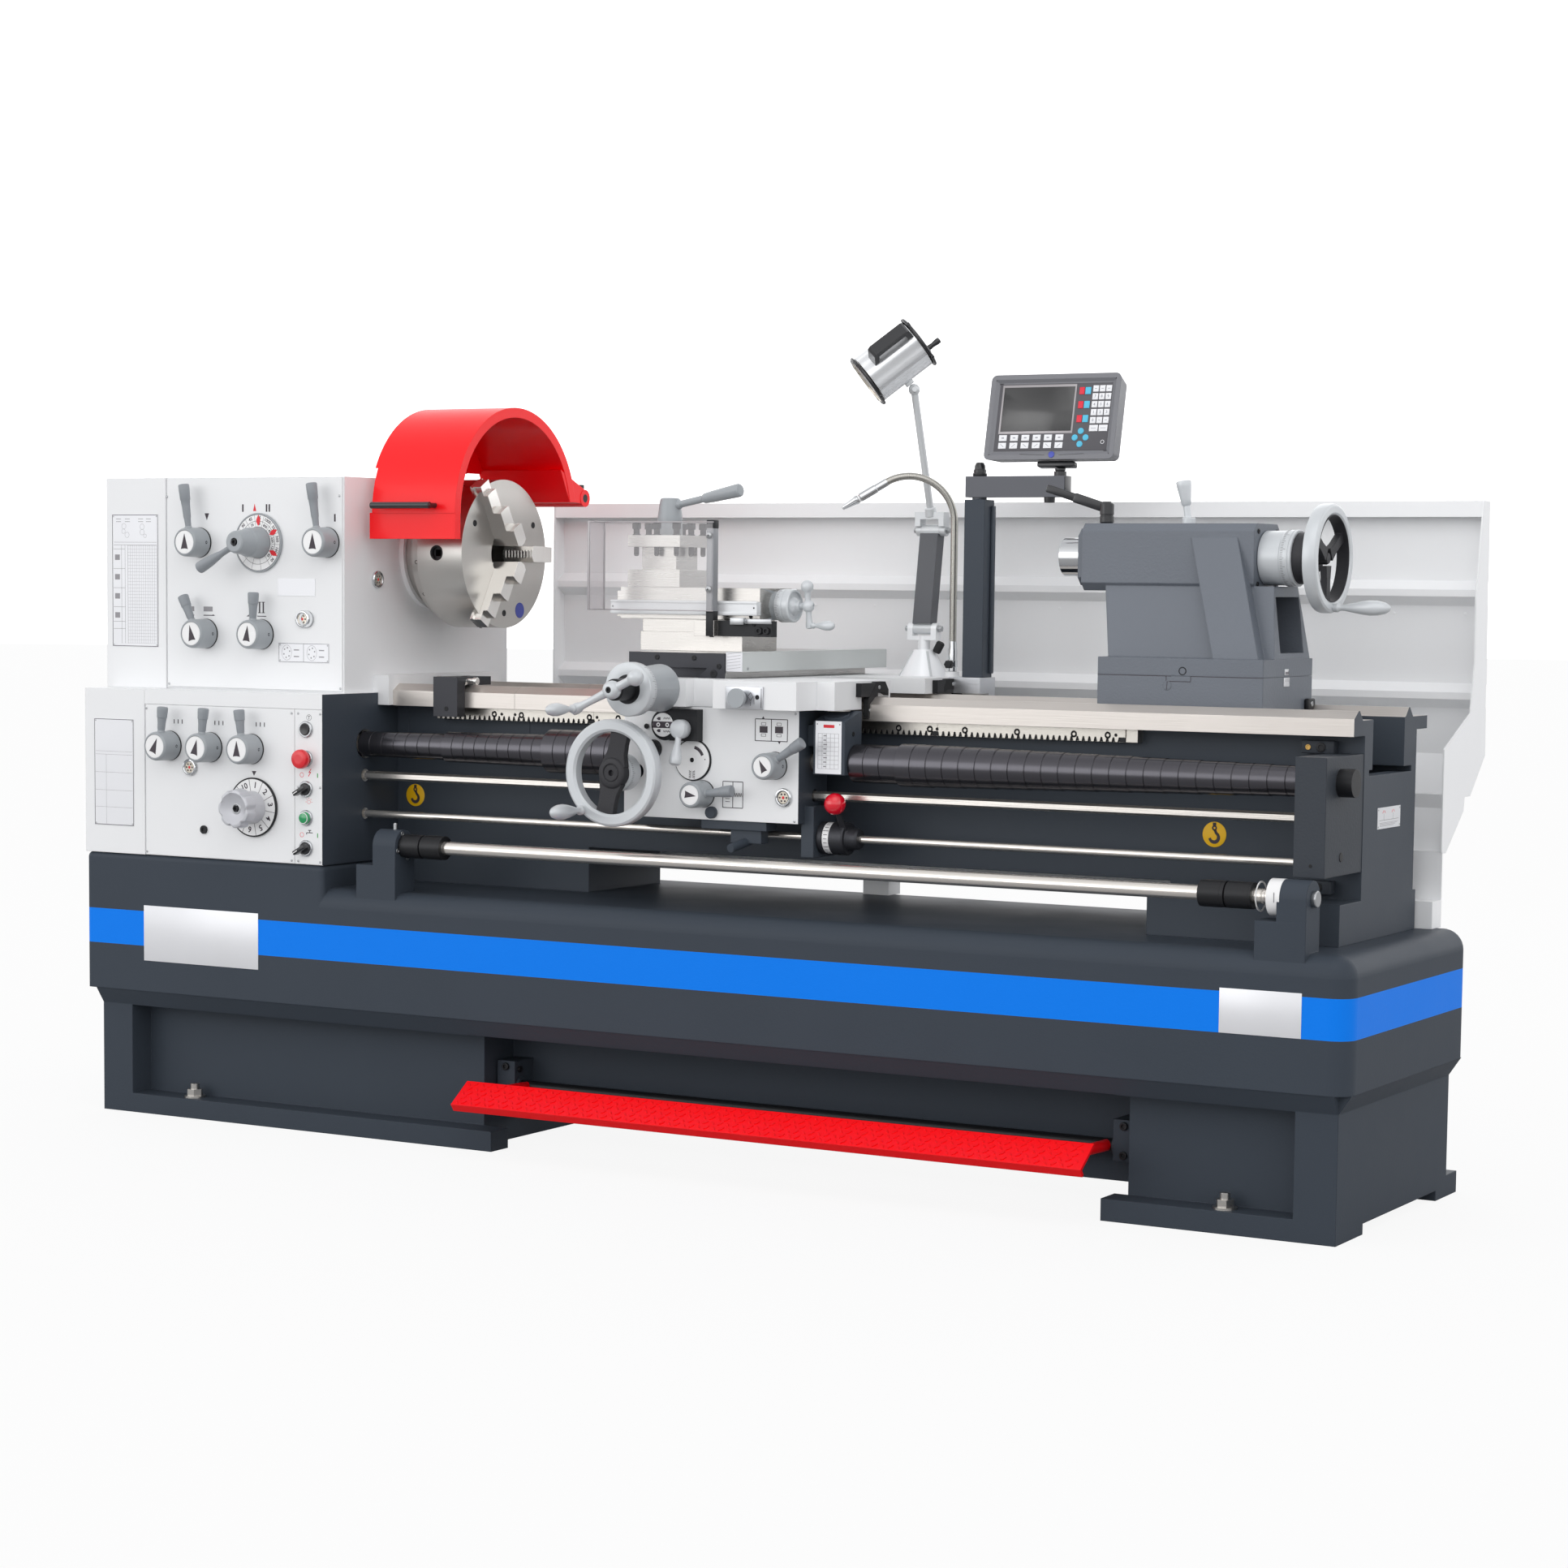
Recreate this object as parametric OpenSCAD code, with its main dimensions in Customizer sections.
// Gap-bed engine lathe: cast base, bed, headstock, feed gearbox, carriage,
// tailstock, lamp, readout and guards. X runs along the bed towards the
// tailstock, Y from the operator's side to the back, Z up. Inside the modules
// X is measured from the chuck face, Y from the spindle axis, Z from the floor.

/* [Machine] */
// swing over the bed, twice the centre height
swing = 560; // [480:10:620]
// spindle axis above the floor
spindle_z = 1234; // [1150:2:1300]
// bed width over the ways
bed_w = 400; // [340:10:420]
// right end of the bed from the chuck face
bed_end = 2017; // [1700:10:2400]

/* [Base] */
// left end of the base
base_left = -828; // [-900:2:-760]
// right end of the base
base_right = 2099; // [1900:2:2400]
// front of the base
base_front = -410; // [-460:2:-380]
// back of the base
base_back = 243; // [220:2:300]
// top of the chip tray
tray_z = 525; // [480:5:560]
// top of the raised part below the gearbox
plinth_z = 574; // [540:2:620]
// bottom of the straight side of the base
skirt_z = 274; // [250:2:300]
// how far the pedestals stand back from the skirt
skirt_in = 25; // [15:1:40]
// rounding of the tray's edge
tray_r = 40; // [20:1:48]
// right edge of the left pedestal
left_foot_end = 177; // [100:5:260]
// left edge of the right pedestal
right_foot_start = 1641; // [1500:5:1700]
// height of the bolting ledge
ledge_h = 42; // [30:1:55]
// depth of the pedestal's recessed front
panel_in = 62; // [40:1:90]
// width of the corner post beside a recess
post_w = 82; // [60:1:110]
// size of the levelling screws
level_d = 20; // [16:1:24]

/* [Bed] */
// height of the V way above the flat beside it
vee_h = 18; // [12:1:22]
// depth of the side of the way
way_h = 47; // [40:1:60]
// width of the front way
front_way_w = 101; // [85:1:115]
// width of the back way
back_way_w = 127; // [100:1:140]
// underside of the bed
bed_bottom = 620; // [600:5:660]
// outer face of the front wall from the axis
bed_wall = 142; // [130:1:160]
// thickness of the bed's walls
wall_t = 26; // [20:1:34]
// right end of the gap piece
gap_end = 165; // [120:5:240]
// left end of the gap piece
gap_start = -150; // [-170:2:-140]
// underside of the gap piece
gap_z = 842; // [820:2:860]

/* [Headstock] */
// left end of the headstock cover
head_left = -843; // [-880:1:-830]
// split between cover and headstock
head_split = -675; // [-700:1:-640]
// right face of the headstock
head_right = -191; // [-215:1:-170]
// front of the headstock
head_front = -320; // [-340:1:-300]
// back of the headstock
head_back = 290; // [270:1:320]
// top of the headstock
head_top = 1392; // [1370:1:1450]
// underside of the headstock
head_bottom = 934; // [930:1:940]
// thickness of the castings
cast_t = 20; // [14:1:26]
// diameter of the spindle
spindle_d = 130; // [110:2:150]
// bore through the spindle
spindle_bore = 82; // [62:1:90]
// diameter of the guard's hinge rod
guard_rod_d = 18; // [14:1:20]

/* [Levers] */
// diameter of a lever's hub
hub_d = 64; // [54:1:72]
// length of a lever's hub
hub_l = 52; // [40:1:62]
// reach of the long levers
long_reach = 126; // [105:1:150]
// reach of the short levers
short_reach = 90; // [75:1:108]
// diameter of a lever's grip
grip_d = 24; // [20:1:28]
// diameter of the two numbered dials
dial_d = 127; // [106:1:150]

/* [Gearbox] */
// front of the gearbox
gear_front = -410; // [-420:1:-400]
// split between cover and gearbox
gear_split = -661; // [-680:1:-640]
// right face of the gearbox
gear_right = -179; // [-190:1:-170]
// width of the switch strip
strip_w = 72; // [60:1:84]
// depth of the gearbox top plate's edge
lip_h = 31; // [24:1:38]
// diameter of the stop button
stop_d = 41; // [34:1:48]

/* [Chuck] */
// diameter of the chuck
chuck_d = 320; // [270:5:336]
// length of the chuck body
chuck_l = 117; // [100:1:130]
// length of the back plate
plate_l = 26; // [22:1:32]
// bore of the chuck
chuck_bore = 98; // [86:1:110]
// width of a jaw
jaw_w = 34; // [28:1:40]
// height of a jaw at its inner end
jaw_h = 57; // [48:1:68]
// radius of the jaws' inner ends
jaw_in = 23; // [20:1:30]
// length of a jaw
jaw_l = 150; // [126:1:160]
// depth of a jaw in its tee slot
jaw_deep = 20; // [17:1:24]
// thickness of the tongues that hold a jaw in its slot
tongue_t = 6; // [5:0.5:8]
// how far a tongue stands out on each side of a jaw
tongue_out = 4; // [3:0.5:6]
// pitch of the gripping grooves on a jaw's nose
grip_pitch = 8; // [6:0.5:10]
// bore of a socket for the chuck's key
key_d = 33; // [28:1:38]
// depth of a socket for the chuck's key
key_deep = 30; // [26:1:36]

/* [Chuck guard] */
// radius of the guard's hood
hood_r = 230; // [215:1:240]
// height of the hood's centre
hood_z = 1316; // [1305:1:1330]
// offset of the hood's centre towards the front
hood_y = -25; // [-35:1:-15]
// thickness of the hood
hood_t = 21; // [14:1:24]
// length of the hood
hood_l = 222; // [190:2:226]
// lower edge of the hood's front
hood_low = 1262; // [1240:1:1290]
// height of the guard's hinge
hinge_z = 1360; // [1350:1:1366]
// distance of the guard's hinge behind the axis
hinge_y = 243; // [238:1:250]

/* [Shafts] */
// distance of the lead screw in front of the axis
screw_y = -260; // [-265:1:-255]
// height of the lead screw
screw_z = 826; // [818:1:834]
// diameter of the lead screw
screw_d = 40; // [33:1:42]
// height of the feed rod
feed_z = 759; // [755:1:763]
// width of the feed rod
feed_d = 19; // [16:1:22]
// height of the control rod
ctrl_z = 677; // [672:1:682]
// diameter of the control rod
ctrl_d = 16; // [13:1:19]
// distance of the stop bar in front of the axis
bar_y = -368; // [-372:1:-362]
// height of the stop bar
bar_z = 622; // [618:1:628]
// diameter of the stop bar
bar_d = 28; // [23:1:33]
// outer diameter of the screw's cover at the carriage
cover_big = 90; // [75:1:96]
// outer diameter of the screw's cover at its ends
cover_small = 54; // [50:1:60]
// left face of the end bracket
end_left = 1956; // [1940:1:1960]
// right face of the end bracket
end_right = 2016; // [2006:1:2016]

/* [Carriage] */
// left end of the saddle
saddle_left = 490; // [480:2:500]
// right end of the saddle
saddle_right = 1000; // [980:2:1040]
// front of the saddle
saddle_front = -392; // [-396:1:-380]
// back of the saddle
saddle_back = 300; // [290:1:310]
// top of the saddle
saddle_top = 986; // [984:1:990]
// left side of the apron
apron_left = 520; // [515:1:525]
// right side of the apron
apron_right = 924; // [915:1:960]
// front of the apron
apron_front = -327; // [-335:1:-320]
// back of the apron
apron_back = -212; // [-216:1:-208]
// underside of the apron
apron_low = 706; // [700:1:712]
// diameter of the apron handwheel
wheel_d = 215; // [180:1:250]
// height of the apron handwheel
wheel_z = 797; // [792:1:806]
// section of the handwheel's rim
rim_d = 24; // [20:1:28]
// left side of the cross slide
cross_left = 504; // [500:1:508]
// right side of the cross slide
cross_right = 730; // [726:1:734]
// length of the cross slide
cross_l = 587; // [560:1:600]
// top of the cross slide
cross_top = 1036; // [1030:1:1042]
// diameter of the cross slide's dial
cross_dial_d = 108; // [90:1:112]
// distance of the top slide's axis in front of the spindle
comp_y = -70; // [-76:1:-64]
// side of the swivel base
swivel_w = 140; // [118:1:150]
// top of the swivel base
swivel_top = 1101; // [1096:1:1106]
// left end of the top slide
slide_left = 386; // [370:1:400]
// right end of the top slide
slide_right = 721; // [715:1:728]
// width of the top slide
slide_w = 130; // [108:1:136]
// top of the top slide
slide_top = 1166; // [1160:1:1172]
// side of the tool post
post_s = 126; // [105:1:134]
// centre of the tool post
post_x = 465; // [455:1:475]
// height of the tool post's upper plate
post_plate = 24; // [20:1:28]
// reach of the tool post's lever
post_reach = 190; // [160:2:220]

/* [Tailstock] */
// left end of the tailstock's sole
tail_left = 1480; // [1470:1:1500]
// right end of the tailstock's sole
tail_right = 1818; // [1800:1:1840]
// width of the barrel
barrel_w = 130; // [108:1:136]
// length of the barrel
barrel_l = 358; // [340:1:370]
// corner cut of the barrel
barrel_cut = 15; // [12:1:18]
// diameter of the quill
quill_d = 75; // [63:1:90]
// diameter of the tailstock handwheel
tail_wheel_d = 207; // [172:1:248]

/* [Lamp and readout] */
// distance of the lamp behind the axis
lamp_y = 250; // [240:1:260]
// diameter of the lamp's head
lamp_d = 112; // [94:1:134]
// length of the lamp's head
lamp_l = 130; // [108:1:142]
// width of the readout
panel_w = 290; // [245:1:340]
// height of the readout
panel_h = 178; // [150:1:200]
// depth of the readout
panel_t = 46; // [38:1:56]

/* [Guards and pedal] */
// top of the back guard
back_top = 1353; // [1300:1:1420]
// left end of the back guard
back_left = -150; // [-155:1:-145]
// right end of the back guard
back_right = 2046; // [2030:1:2060]
// sheet of the back guard
sheet_t = 3; // [2:0.5:4]
// width of the brake pedal
pedal_w = 72; // [60:1:86]
// thickness of the brake pedal
pedal_t = 6; // [5:0.5:8]

/* [Hidden] */
way_z = spindle_z - swing/2;            // crest of the V ways
flat_z = way_z - vee_h;                 // flats beside the crests
bed_front = -bed_w/2;
bed_back = bed_w/2;
inner_front = bed_front + front_way_w;
inner_back = bed_back - back_way_w;
foot_front = base_front + skirt_in;
foot_back = base_back - skirt_in;
recess_y = foot_front + panel_in;
run = 0.06;                             // radial clearance of a running fit
gap = 0.3;                              // clearance between parts that move past each other
jaw_foot = 8;                           // how far a jaw's lowest step stands off the chuck's face
tongue_low = 4 - jaw_deep;
key_turns = [60, 180, 300];
cross_x = (cross_left + cross_right)/2;
cross_front = saddle_back - cross_l;
hand_y = apron_front - 103;             // plane of the apron handwheel
tail_x = (tail_left + tail_right)/2;
quill_face = 1340;
barrel_left = 1390;
barrel_right = barrel_left + barrel_l + 12;
crank_y = -526;                         // plane of the cross crank
front_y = crank_y - 105;                // foremost point, the crank's grip
rear_y = 470;                           // rearmost point, the back guard
gear_cover_top = head_bottom - 1;
strip_x = gear_right - 42;
green_z = 673;
panel_posts = [[860, 24], [798, 26], [734, 24], [609, 24]];   // height and size of each control
hood_end = 50;
pedal_axis_y = -262;
pedal_axis_z = 122;
thread_box_x = 945;
step_front = apron_front + 5;           // front of the saddle beside the crank
wheel_x = 551;
lamp_x = 897;
hose_x = lamp_x + 80;
hose_y = lamp_y - 24;
post_top = slide_top + 107;
sheet_y = comp_y - swivel_w/2 - 40;     // plane of the tool post's guard
upright_x = 627;
dial_z = 966;
swivel_x = (cross_left + cross_right)/2 - 56;
frame_x = -(head_left + base_right)/2;
frame_y = -(front_y + rear_y)/2;
white = [0.92, 0.92, 0.91];
slate = [0.20, 0.22, 0.25];
black = [0.06, 0.06, 0.07];
grey = [0.62, 0.64, 0.66];
steel = [0.72, 0.71, 0.69];
red = [0.85, 0.04, 0.06];
$fn = 64;

// ---- helpers ----

module place() { translate([frame_x, frame_y, 0]) children(); }

module box(x0, x1, y0, y1, z0, z1) {
  translate([x0, y0, z0]) cube([x1 - x0, y1 - y0, z1 - z0]);
}

// children point along X from the given place
module to_x(x, y, z) { translate([x, y, z]) rotate([0, 90, 0]) children(); }

// children point towards the front from the given place, their Y up
module to_front(x, y, z) { translate([x, y, z]) rotate([90, 0, 0]) children(); }

// a profile drawn as [y, z] and run from x0 to x1
module run_x(x0, x1) {
  translate([x0, 0, 0]) rotate([90, 0, 90]) linear_extrude(x1 - x0) children();
}

// a block whose upright corners and top edges are rounded
module soft_block(x0, x1, y0, y1, z0, z1, r) {
  box(x0 + r, x1 - r, y0 + r, y1 - r, z0, z1);
  box(x0, x1, y0 + r, y1 - r, z0, z1 - r);
  box(x0 + r, x1 - r, y0, y1, z0, z1 - r);
  for (x = [x0 + r, x1 - r], y = [y0 + r, y1 - r]) {
    translate([x, y, z0]) cylinder(h = z1 - r - z0, r = r);
    translate([x, y, z1 - r]) sphere(r = r);
  }
  for (y = [y0 + r, y1 - r]) to_x(x0 + r, y, z1 - r) cylinder(h = x1 - x0 - 2*r, r = r);
  for (x = [x0 + r, x1 - r]) to_front(x, y1 - r, z1 - r) cylinder(h = y1 - y0 - 2*r, r = r);
}

// a round bar between two points
module rod(a, b, d) {
  v = b - a;
  l = norm(v);
  translate(a) rotate([0, acos(v[2]/l), atan2(v[1], v[0])]) cylinder(h = l, d = d);
}

// a lever on the front of a casting: barrel hub, thin stem and swelling grip
module hand_lever(reach, angle, d = hub_d) {
  grip = reach*0.52;
  cylinder(h = hub_l, d = d);
  translate([0, 0, hub_l*0.62]) rotate([0, 0, -angle]) rotate([-90, 0, 0]) {
    cylinder(h = reach - grip, d1 = grip_d*0.5, d2 = grip_d*0.62);
    translate([0, 0, reach - grip]) cylinder(h = grip, d1 = grip_d*0.72, d2 = grip_d);
  }
}

// a turned grip, its root at the origin and its length along Z
module turned_grip(l, d) {
  rotate_extrude() polygon([[0, 0], [d*0.22, 0], [d*0.22, l*0.12], [d*0.34, l*0.28],
    [d*0.5, l*0.62], [d*0.42, l*0.85], [d*0.18, l], [0, l]]);
}

// ---- base, bed and back guard ----

module pedestal(x0, x1, post_left) {
  recess0 = post_left ? x0 + post_w : x0 - 1;
  recess1 = post_left ? x1 + 1 : x1 - post_w;
  ledge0 = post_left ? x0 : x0 - 28;
  ledge1 = post_left ? x1 + 60 : x1;
  lug0 = post_left ? x0 : x1 - 120;
  difference() {
    union() {
      box(x0, x1, foot_front, foot_back, 0, skirt_z + 1);
      for (y = [foot_front, foot_back - panel_in])
        box(ledge0, ledge1, y, y + panel_in, 0, ledge_h);
      box(lug0, lug0 + 120, foot_back - 1, foot_back + 62, 0, ledge_h);
    }
    box(recess0, recess1, foot_front - 1, recess_y, ledge_h, skirt_z - 36);
    box(x0 + 26, x1 - 26, recess_y + 20, foot_back - 26, 30, skirt_z - 24);
    // arches cut under the end faces
    box(post_left ? x0 - 1 : x1 - 160, post_left ? x0 + 160 : x1 + 1,
      foot_front + 140, foot_back - 60, -1, 20);
    for (back = [false, true])
      translate(level_at(post_left, back) - [0, 0, 1]) cylinder(h = ledge_h + 2, d = level_d);
  }
}

// where a levelling screw stands
function level_at(left, back) = [
  left ? base_left + skirt_in + (back ? 60 : 232) : base_right - skirt_in - (back ? 60 : 226),
  back ? foot_back + 31 : foot_front + panel_in/2, 0];

module levelling(p) translate(p) {
  cylinder(h = ledge_h + 30, d = level_d);
  translate([0, 0, ledge_h]) cylinder(h = 4, d = level_d*2.3);
  translate([0, 0, ledge_h + 4]) cylinder(h = 14, d = level_d*1.75, $fn = 6);
}

module bar_bracket(x, w) {
  box(x, x + w, bar_y - 34, bar_y + 34, tray_z - tray_r, tray_z + 56);
  difference() {
    union() {
      to_x(x + w*0.42, bar_y, bar_z) cylinder(h = w*0.58, d = bar_d*2.4);
      box(x + w*0.42, x + w, bar_y - bar_d*1.2, bar_y + bar_d*1.2, tray_z + 50, bar_z);
    }
    to_x(x - 1, bar_y, bar_z) cylinder(h = w + 2, d = bar_d + 2*run);
  }
}

module base() place() {
  color(slate) difference() {
    union() {
      soft_block(base_left, base_right, base_front, base_back, skirt_z, tray_z, tray_r);
      soft_block(base_left, gear_right, base_front, base_back, skirt_z, plinth_z, 12);
      run_x(base_left + skirt_in, base_right - skirt_in)
        polygon([[foot_front, skirt_z - 35], [base_front + 1, skirt_z + 1], [base_back - 1, skirt_z + 1],
          [foot_back, skirt_z - 35]]);
      to_front(0, foot_back, 0) linear_extrude(foot_back - foot_front)
        polygon([[base_left + skirt_in, skirt_z - 35], [base_left + 1, skirt_z + 1],
          [base_right - 1, skirt_z + 1], [base_right - skirt_in, skirt_z - 35]]);
      pedestal(base_left + skirt_in, left_foot_end, true);
      pedestal(right_foot_start, base_right - skirt_in, false);
      box(left_foot_end - 1, right_foot_start + 1, -215, -195, 46, skirt_z + 1);
      for (x = [left_foot_end + 6, right_foot_start - 50]) box(x, x + 44, -284, -214, 96, 176);
    }
    box(base_left + 36, gear_right - 36, base_front + 36, base_back - 36, skirt_z + 24, plinth_z - 30);
    box(gear_right + 36, base_right - 36, base_front + 36, base_back - 36, skirt_z + 24, tray_z - 36);
    to_x(left_foot_end - 40, pedal_axis_y, pedal_axis_z)
      cylinder(h = right_foot_start - left_foot_end + 80, d = 26 + 2*run);
  }
  color(slate) { bar_bracket(-96, 100); bar_bracket(1912, 98); }
  color(steel) for (left = [true, false], back = [true, false]) levelling(level_at(left, back));
}

module way_profile(deep) {
  polygon([[bed_front, way_z - way_h], [bed_front, way_z - vee_h*0.8], [bed_front + 22, way_z],
    [bed_front + 28, way_z], [bed_front + 46, flat_z], [inner_front, flat_z], [inner_front, deep],
    [-bed_wall + wall_t, deep], [-bed_wall, deep], [-bed_wall, way_z - way_h]]);
  polygon([[inner_back, deep], [inner_back, flat_z], [inner_back + 6, flat_z + 2], [inner_back + 22, way_z],
    [inner_back + 28, way_z], [inner_back + 46, flat_z], [bed_back, flat_z], [bed_back, way_z - way_h + 4],
    [bed_wall, way_z - way_h + 4], [bed_wall, deep]]);
}

module bed_section() {
  difference() {
    union() {
      way_profile(gap_z);
      translate([-bed_wall, bed_bottom]) square([2*bed_wall, gap_z + 0.1 - bed_bottom]);
    }
    translate([-bed_wall + wall_t, bed_bottom - 1])
      square([2*(bed_wall - wall_t), gap_z + 2 - bed_bottom]);
  }
}

module bed() place() {
  color(slate) difference() {
    union() {
      run_x(gap_end + gap, bed_end) bed_section();
      run_x(gap_start, gap_end + 1) intersection() {
        bed_section();
        translate([-bed_wall - 1, bed_bottom - 1]) square([2*bed_wall + 2, gap_z - gap - bed_bottom + 1]);
      }
      // ribs between the walls
      for (x = [gap_start : 270 : bed_end - 60])
        box(x, x + 30, -bed_wall + 5, bed_wall - 5, bed_bottom, gap_z - 60);
      box(bed_end - 34, bed_end, -bed_wall + 5, bed_wall - 5, bed_bottom, gap_z - 10);
      // legs that stand on the base
      box(-640, gear_right + 1, -bed_wall, bed_wall, plinth_z, bed_bottom + 10);
      box(gear_right + gap, 316, -bed_wall, bed_wall, tray_z, bed_bottom + 10);
      box(-640, gap_start - gap, -bed_wall, bed_wall, bed_bottom, head_bottom);
      box(gap_start - 1, gap_start + 20, -bed_wall, bed_wall, bed_bottom, gap_z - gap);
      box(right_foot_start - 5, bed_end, -252, 158, tray_z, bed_bottom - 18);
      box(right_foot_start - 5, bed_end, -bed_wall, bed_wall, bed_bottom - 20, bed_bottom + 10);
    }
    box(-600, gap_start - 40, -bed_wall + 30, bed_wall - 30, plinth_z + 30, head_bottom - 60);
    box(right_foot_start + 30, bed_end - 30, -220, 130, tray_z + 24, bed_bottom - 44);
  }
  color(steel) for (x = [gap_start + 90 : 402 : 1560])
    box(x, min(x + 401.7, 1572), -bed_wall - 22, -bed_wall, way_z - way_h - 26, way_z - way_h);
  color(slate) {
    difference() {
      box(end_left, end_right, -332, -bed_wall, 656, 874);
      to_x(end_left - 1, screw_y, screw_z) cylinder(h = 80, d = screw_d*0.7 + 2*run);
      for (z = [feed_z, ctrl_z]) to_x(end_left - 1, screw_y, z) cylinder(h = 50, d = ctrl_d - 2 + 2*run);
    }
  }
  color(black) to_x(end_right, screw_y, screw_z) difference() {
    cylinder(h = 30, d = 52);
    translate([0, 0, -1]) cylinder(h = 22, d = screw_d*0.7 + 4);
  }
}

module gap_bridge() place() color(steel)
  run_x(gap_start, gap_end) {
    way_profile(gap_z);
    translate([-bed_wall, gap_z]) square([2*bed_wall, 34]);
  }

module guard_profile(t) {
  // back sheet with its pressed ribs, then the slope down to the tray
  back = [[rear_y - 12, back_top], [rear_y - 8, 1196], [rear_y - 36, 1178], [rear_y - 36, 1164],
    [rear_y - 8, 1146], [rear_y - 4, 992], [rear_y - 32, 974], [rear_y - 32, 960], [rear_y - 4, 942],
    [rear_y, 850], [384, 772], [350, 772], [346, 745], [246, 668], [228, 668], [228, 575]];
  front = [for (i = [len(back) - 1 : -1 : 0])
    [back[i][0] - t, back[i][1] + (i > 9 && i < 15 ? t : 0)]];
  polygon(concat(back, front));
}

module back_guard() place() color(white) {
  run_x(back_left, back_right) guard_profile(sheet_t);
  // folded lip along the top
  box(back_left, back_right, rear_y - 50, rear_y - 12, back_top - sheet_t, back_top);
  box(back_left, back_right, rear_y - 50, rear_y - 50 + sheet_t, back_top - 32, back_top);
  // end plates
  box(back_left, back_left + sheet_t, rear_y - 52, rear_y - 10, 870, back_top);
  run_x(back_right - sheet_t, back_right) polygon([[rear_y - 50, back_top], [rear_y - 82, 1160], [rear_y - 80, 1030],
    [rear_y - 98, 935], [222, 870], [222, 670], [245, 670], [345, 747], [349, 774], [383, 774], [rear_y - 2, 852],
    [rear_y - 6, 942], [rear_y - 10, 1146], [rear_y - 13, back_top]]);
  // feet on the back edge of the tray
  for (x = [back_left, 800, back_right - 60]) box(x, x + 60, 175, 228, tray_z, 578);
}

// ---- headstock and gearbox ----

module sight_glass() {
  difference() { cylinder(h = 5, d = 36); translate([0, 0, 3]) cylinder(h = 3, d = 24); }
}

module headstock() place() {
  color(white) difference() {
    union() {
      box(head_split + 0.4, head_right, head_front + 3, head_back, head_bottom, head_top);
      // front plate
      box(head_split + 4, head_right - 4, head_front, head_front + 3, head_bottom + 4, head_top - 2);
      // foot on the bed
      box(head_right - 1, gap_start, -215, 205, head_bottom, way_z + 18);
      box(gear_right + gap, gap_start, -215, 205, head_bottom - 26, head_bottom + 1);
      to_x(head_right - 1, 0, spindle_z) cylinder(h = 13, d = spindle_d*1.9);
    }
    box(head_split + cast_t, head_right - cast_t, head_front + cast_t + 3, head_back - cast_t,
      head_bottom + cast_t, head_top - cast_t);
    to_x(head_split - 1, 0, spindle_z) cylinder(h = 600, d = spindle_d + 2*run);
    // the foot sits over the ways
    run_x(head_right - 2, gap_start + 1) polygon([[-bed_wall - 0.3, head_bottom - 30], [-bed_wall - 0.3, flat_z + 0.3],
      [bed_wall + 0.3, flat_z + 0.3], [bed_wall + 0.3, head_bottom - 30]]);
    to_x(head_right - 30, hinge_y, hinge_z) cylinder(h = 40, d = guard_rod_d);
  }
  color(white) difference() {
    box(head_left, head_split, head_front, head_back, gear_cover_top, head_top);
    box(head_left + 3, head_split - 3, head_front + 3, head_back - 3, gear_cover_top + 3, head_top - 3);
  }
  color(black) to_x(head_right - 30, hinge_y, hinge_z) cylinder(h = hood_end - head_right + 30, d = guard_rod_d);
  color(steel) {
    to_front(-288, head_front, 1090) sight_glass();
    to_x(head_right, -203, 1176) sight_glass();
  }
}

module gearbox() place() {
  color(white) difference() {
    union() {
      box(gear_split + 0.4, gear_right, gear_front + 3, 180, plinth_z, head_bottom - 0.2 - lip_h);
      box(gear_split + 0.4, gear_right, gear_front, -150, head_bottom - 1 - lip_h, head_bottom);
      box(gear_split + 3, gear_right - strip_w - 1, gear_front, gear_front + 3, plinth_z + 1, head_bottom - lip_h - 1.5);
      box(gear_right - strip_w, gear_right, gear_front, gear_front + 3, plinth_z + 1, head_bottom - lip_h - 1.5);
    }
    box(gear_split + cast_t, gear_right - cast_t, gear_front + cast_t, -165, plinth_z + cast_t, head_bottom - lip_h - cast_t);
    box(-650, gear_right + 1, -bed_wall - 0.3, 200, plinth_z - 1, head_bottom + 1);
    for (z = [screw_z, feed_z, ctrl_z])
      to_x(gear_right - 40, screw_y, z) cylinder(h = 60, d = (z == screw_z ? cover_small : z == feed_z ? feed_d : ctrl_d) + 8);
    for (p = panel_posts) to_front(strip_x, gear_front + 30, p[0]) cylinder(h = 40, d = p[1]*0.6 + 2*run);
  }
  color(white) difference() {
    box(base_left - 0.8, gear_split, gear_front, 190, plinth_z, gear_cover_top);
    box(base_left + 2, gear_split - 3, gear_front + 3, 187, plinth_z + 3, gear_cover_top - 3);
  }
  color(steel) {
    to_front(-533, gear_front, 769) sight_glass();
    to_front(strip_x, gear_front, green_z) cylinder(h = 4, d = 30);
  }
  color(black) to_front(-496, gear_front, 636) difference() {
    cylinder(h = 4, d = 18);
    translate([0, 0, 2]) cylinder(h = 3, d = 9, $fn = 6);
  }
  color([0, 0.5, 0.25]) to_front(strip_x, gear_front - 4, green_z) cylinder(h = 8, d = 24);
}

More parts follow.
